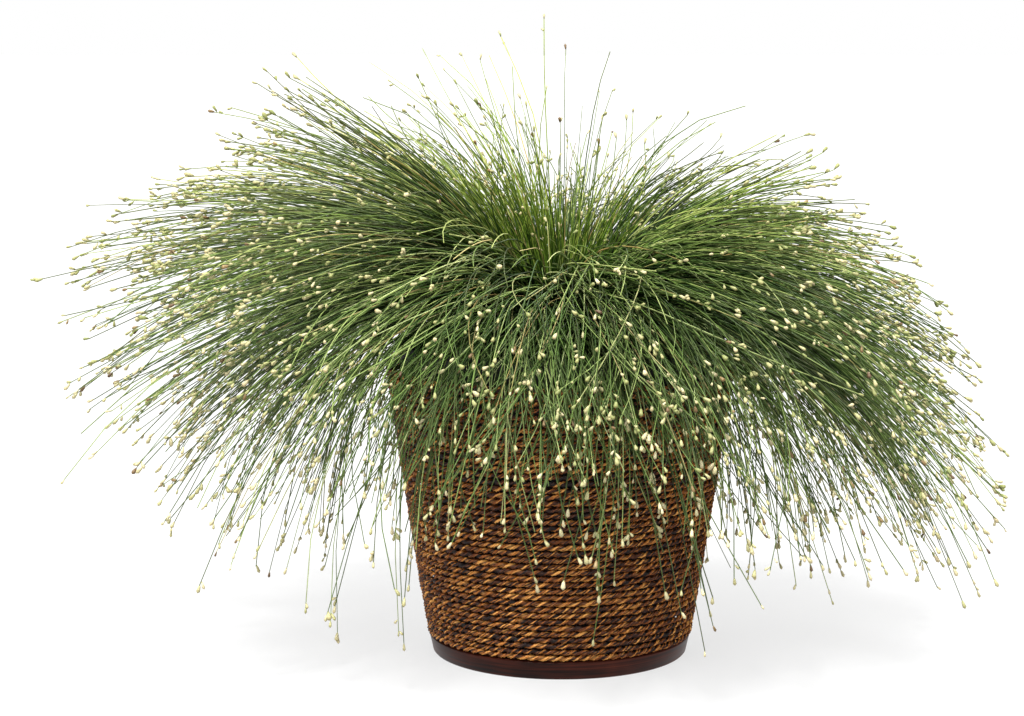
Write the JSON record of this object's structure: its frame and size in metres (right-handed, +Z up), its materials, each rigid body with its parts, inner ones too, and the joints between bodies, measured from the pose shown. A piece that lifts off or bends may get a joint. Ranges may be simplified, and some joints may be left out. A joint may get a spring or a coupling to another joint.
{
  "type": "potted fiber optic grass",
  "caption": "Fountain of thin arching stems with cream seed heads in a nursery pot, set in a tapered rope basket with a wooden foot band.",
  "frame": {"origin": "centre of the basket's flat underside, on the surface it stands on", "axes": "+Z up through the basket and the crown of the plant, -Y towards the front of the picture, +X to its right"},
  "size_m": [0.4754, 0.375, 0.3186],
  "materials": {
    "rope": "satin",
    "wood": "satin",
    "plastic": "satin",
    "soil": "matte",
    "stems": "satin",
    "light_stems": "satin"
  },
  "bodies": {
    "root": {"foot_band": "wood", "base_panel": "wood", "rope_wall": "rope", "liner_pot": "plastic", "soil": "soil", "upright_tuft_01": "light_stems", "upright_tuft_02": "light_stems", "upright_tuft_03": "light_stems", "upright_tuft_04": "light_stems", "upright_tuft_05": "light_stems", "upright_tuft_06": "light_stems", "arching_tuft_01": "stems", "arching_tuft_02": "stems", "arching_tuft_03": "stems", "arching_tuft_04": "stems", "arching_tuft_05": "stems", "arching_tuft_06": "stems", "arching_tuft_07": "stems", "arching_tuft_08": "stems", "arching_tuft_09": "stems", "arching_tuft_10": "stems", "arching_tuft_11": "stems", "arching_tuft_12": "stems", "spreading_tuft_01": "stems", "spreading_tuft_02": "stems", "spreading_tuft_03": "stems", "spreading_tuft_04": "stems", "spreading_tuft_05": "stems", "spreading_tuft_06": "stems", "spreading_tuft_07": "stems", "spreading_tuft_08": "stems", "spreading_tuft_09": "stems", "spreading_tuft_10": "stems", "spreading_tuft_11": "stems", "spreading_tuft_12": "stems", "drooping_tuft_01": "stems", "drooping_tuft_02": "stems", "drooping_tuft_03": "stems", "drooping_tuft_04": "stems", "drooping_tuft_05": "stems", "drooping_tuft_06": "stems", "drooping_tuft_07": "stems", "drooping_tuft_08": "stems", "drooping_tuft_09": "stems", "drooping_tuft_10": "stems", "drooping_tuft_11": "stems", "trailing_tuft_01": "stems", "trailing_tuft_02": "stems", "trailing_tuft_03": "stems", "trailing_tuft_04": "stems", "trailing_tuft_05": "stems", "trailing_tuft_06": "stems", "trailing_tuft_07": "stems", "trailing_tuft_08": "stems", "trailing_tuft_09": "stems", "trailing_tuft_10": "stems", "trailing_tuft_11": "stems"}
  },
  "joints": []
}
